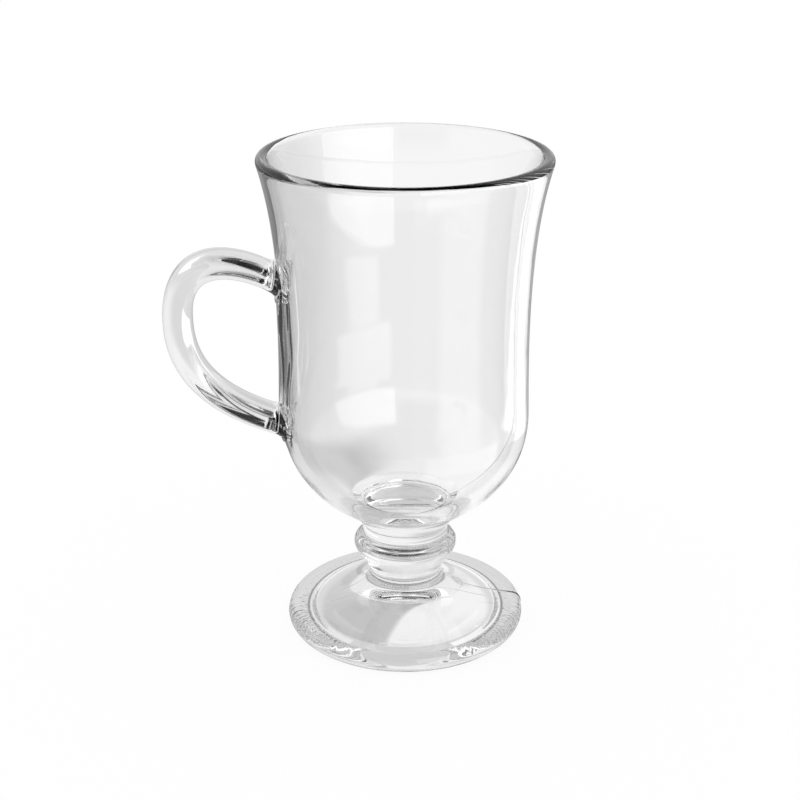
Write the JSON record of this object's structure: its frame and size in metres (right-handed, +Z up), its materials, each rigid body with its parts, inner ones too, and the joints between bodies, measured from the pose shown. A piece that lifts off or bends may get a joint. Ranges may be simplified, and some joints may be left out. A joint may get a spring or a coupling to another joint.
{
  "type": "footed glass mug",
  "caption": "Clear pressed-glass mug for cappuccino or Irish coffee: a flared bowl on a short knopped stem and a round foot, with an ear-shaped loop handle.",
  "frame": {"origin": "middle of the mug's footprint, handle included, on the plane that the foot's standing ring rests on", "axes": "+Z up, the handle points to -X, +Y away from the viewer of the picture"},
  "size_m": [0.1063, 0.0796, 0.14],
  "materials": {
    "bowl_glass": "fire-polished",
    "stem_glass": "fire-polished",
    "foot_glass": "fire-polished",
    "handle_glass": "fire-polished"
  },
  "bodies": {
    "root": {"bowl": "bowl_glass", "stem": "stem_glass", "foot": "foot_glass", "handle": "handle_glass"}
  },
  "joints": []
}
